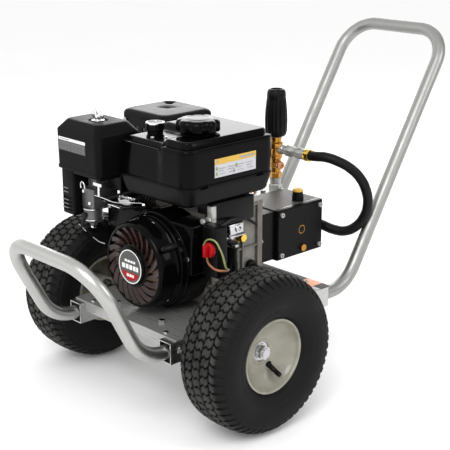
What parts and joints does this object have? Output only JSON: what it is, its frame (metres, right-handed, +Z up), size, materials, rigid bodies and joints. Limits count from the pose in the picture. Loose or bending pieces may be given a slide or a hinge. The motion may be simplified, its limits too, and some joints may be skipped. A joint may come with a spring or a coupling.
{
  "type": "pressure washer pump unit",
  "caption": "Engine-driven triplex pressure washer pump on a two-wheel aluminium cart with a front bumper, a push handle and a looped bypass hose.",
  "frame": {"origin": "middle of the whole object's footprint, on the ground under the tyres and rear feet", "axes": "+X toward the unit's right wheel (the engine switch's side), +Y from the bumper to the push handle, +Z up"},
  "size_m": [0.66, 1.0878, 0.73],
  "materials": {
    "brushed_aluminium": "brushed satin",
    "deck_aluminium": "semi-bright sheet",
    "zinc": "bright zinc plate",
    "axle_steel": "plain",
    "tyre": "matt",
    "rubber": "matt",
    "rim": "off-white enamel",
    "bearing_steel": "ground",
    "cast_aluminium": "as cast",
    "cover_cast": "as cast",
    "black_gloss": "gloss enamel",
    "black_satin": "satin",
    "black_plastic": "matt",
    "red_plastic": "gloss",
    "foam": "filter element",
    "brass": "machined",
    "ceramic": "ceramic plungers",
    "manifold": "forged, plated",
    "steel": "machined",
    "muffler_steel": "heat-stained"
  },
  "bodies": {
    "frame": {"deck_plate": "deck_aluminium", "side_rails": "brushed_aluminium", "front_bumper": "brushed_aluminium", "handle": "brushed_aluminium", "frame_bolts": "zinc", "axle": "axle_steel", "axle_nuts": "zinc", "rear_stand": "brushed_aluminium", "rear_feet": "rubber", "crankcase": "cast_aluminium", "crankcase_cover": "cover_cast", "main_bearings": "bearing_steel", "piston": "cast_aluminium", "cylinder_head": "cast_aluminium", "rocker_cover": "cast_aluminium", "spark_plug": "black_plastic", "fan_housing": "black_gloss", "recoil_cover": "black_satin", "carburetor": "cast_aluminium", "air_cleaner_base": "black_plastic", "air_filter": "foam", "muffler": "muffler_steel", "muffler_guard": "black_gloss", "fuel_tank": "black_gloss", "fuel_tank_base": "black_satin", "engine_switch": "black_plastic", "engine_bolts": "zinc", "pump_adapter": "black_satin", "pump_body": "black_satin", "pump_cover": "black_satin", "pump_manifold": "manifold", "plungers": "ceramic", "pump_screws": "zinc", "pump_ports": "brass", "unloader_body": "brass", "bypass_hose": "rubber"},
    "left_wheel": {"left_tyre": "tyre", "left_rim": "rim", "left_bearings": "bearing_steel", "left_valve_stem": "rubber"},
    "right_wheel": {"right_tyre": "tyre", "right_rim": "rim", "right_bearings": "bearing_steel", "right_valve_stem": "rubber"},
    "crank_train": {"crankshaft": "steel", "flywheel": "steel", "pump_shaft": "steel"},
    "recoil_pulley": {"recoil_pulley": "black_plastic"},
    "starter_grip": {"starter_grip": "black_plastic"},
    "choke_lever": {"choke_lever": "zinc"},
    "fuel_valve_lever": {"fuel_valve_lever": "black_plastic"},
    "throttle_lever": {"throttle_lever": "black_plastic"},
    "air_cleaner_cover": {"air_cleaner_cover": "black_plastic"},
    "wing_nut": {"wing_nut": "zinc"},
    "fuel_cap_seal": {"fuel_cap_seal": "black_plastic"},
    "fuel_cap": {"fuel_cap": "black_plastic"},
    "switch_knob": {"switch_knob": "red_plastic"},
    "oil_dipstick": {"oil_dipstick": "black_plastic"},
    "pump_oil_cap": {"pump_oil_cap": "black_plastic"},
    "unloader_knob": {"unloader_knob": "black_plastic"}
  },
  "joints": [
    {"name": "left_wheel_spin", "type": "hinge", "parent": "frame", "child": "left_wheel", "pos_m": [-0.265, -0.223, 0.165], "axis": [1, 0, 0], "continuous": true},
    {"name": "right_wheel_spin", "type": "hinge", "parent": "frame", "child": "right_wheel", "pos_m": [0.265, -0.223, 0.165], "axis": [1, 0, 0], "continuous": true},
    {"name": "crank_spin", "type": "hinge", "parent": "frame", "child": "crank_train", "pos_m": [0, -0.123, 0.297], "axis": [0, 1, 0], "continuous": true},
    {"name": "cord_pull", "type": "slide", "parent": "frame", "child": "starter_grip", "axis": [0.848, 0, 0.5299], "range_m": [0, 0.12], "stiffness_N_per_m": 60, "springref_m": -0.02},
    {"name": "pulley_turn", "type": "hinge", "parent": "frame", "child": "recoil_pulley", "pos_m": [0, -0.3, 0.297], "axis": [0, 1, 0], "range_deg": [0, 120]},
    {"name": "choke_turn", "type": "hinge", "parent": "frame", "child": "choke_lever", "pos_m": [-0.127, -0.3115, 0.422], "axis": [0, -1, 0], "range_deg": [-55, 0]},
    {"name": "fuel_valve_turn", "type": "hinge", "parent": "frame", "child": "fuel_valve_lever", "pos_m": [-0.196, -0.294, 0.358], "axis": [0, -1, 0], "range_deg": [0, 70]},
    {"name": "throttle_turn", "type": "hinge", "parent": "frame", "child": "throttle_lever", "pos_m": [-0.06, -0.237, 0.3923], "axis": [0, 0, 1], "range_deg": [-35, 35]},
    {"name": "cleaner_cover_lift", "type": "slide", "parent": "frame", "child": "air_cleaner_cover", "axis": [0, 0, 1], "range_m": [0, 0.09]},
    {"name": "wing_nut_spin", "type": "hinge", "parent": "air_cleaner_cover", "child": "wing_nut", "pos_m": [-0.186, -0.257, 0.57], "axis": [0, 0, 1], "continuous": true},
    {"name": "fuel_cap_lift", "type": "slide", "parent": "frame", "child": "fuel_cap_seal", "axis": [0, 0, 1], "range_m": [0, 0.06]},
    {"name": "fuel_cap_twist", "type": "hinge", "parent": "fuel_cap_seal", "child": "fuel_cap", "pos_m": [0.032, -0.165, 0.575], "axis": [0, 0, 1], "range_deg": [0, 90]},
    {"name": "switch_turn", "type": "hinge", "parent": "frame", "child": "switch_knob", "pos_m": [0.143, -0.233, 0.347], "axis": [0, -1, 0], "range_deg": [0, 60]},
    {"name": "dipstick_pull", "type": "slide", "parent": "frame", "child": "oil_dipstick", "axis": [-1, 0, 0], "range_m": [0, 0.06]},
    {"name": "pump_cap_pull", "type": "slide", "parent": "frame", "child": "pump_oil_cap", "axis": [0, 0, 1], "range_m": [0, 0.05]},
    {"name": "unloader_turn", "type": "hinge", "parent": "frame", "child": "unloader_knob", "pos_m": [-0.062, 0.165, 0.52], "axis": [0, 0, 1], "range_deg": [-1080, 0]}
  ],
  "couplings": [
    {"joint": "pulley_turn", "follows": "cord_pull", "rad_per_m": 16.667}
  ]
}
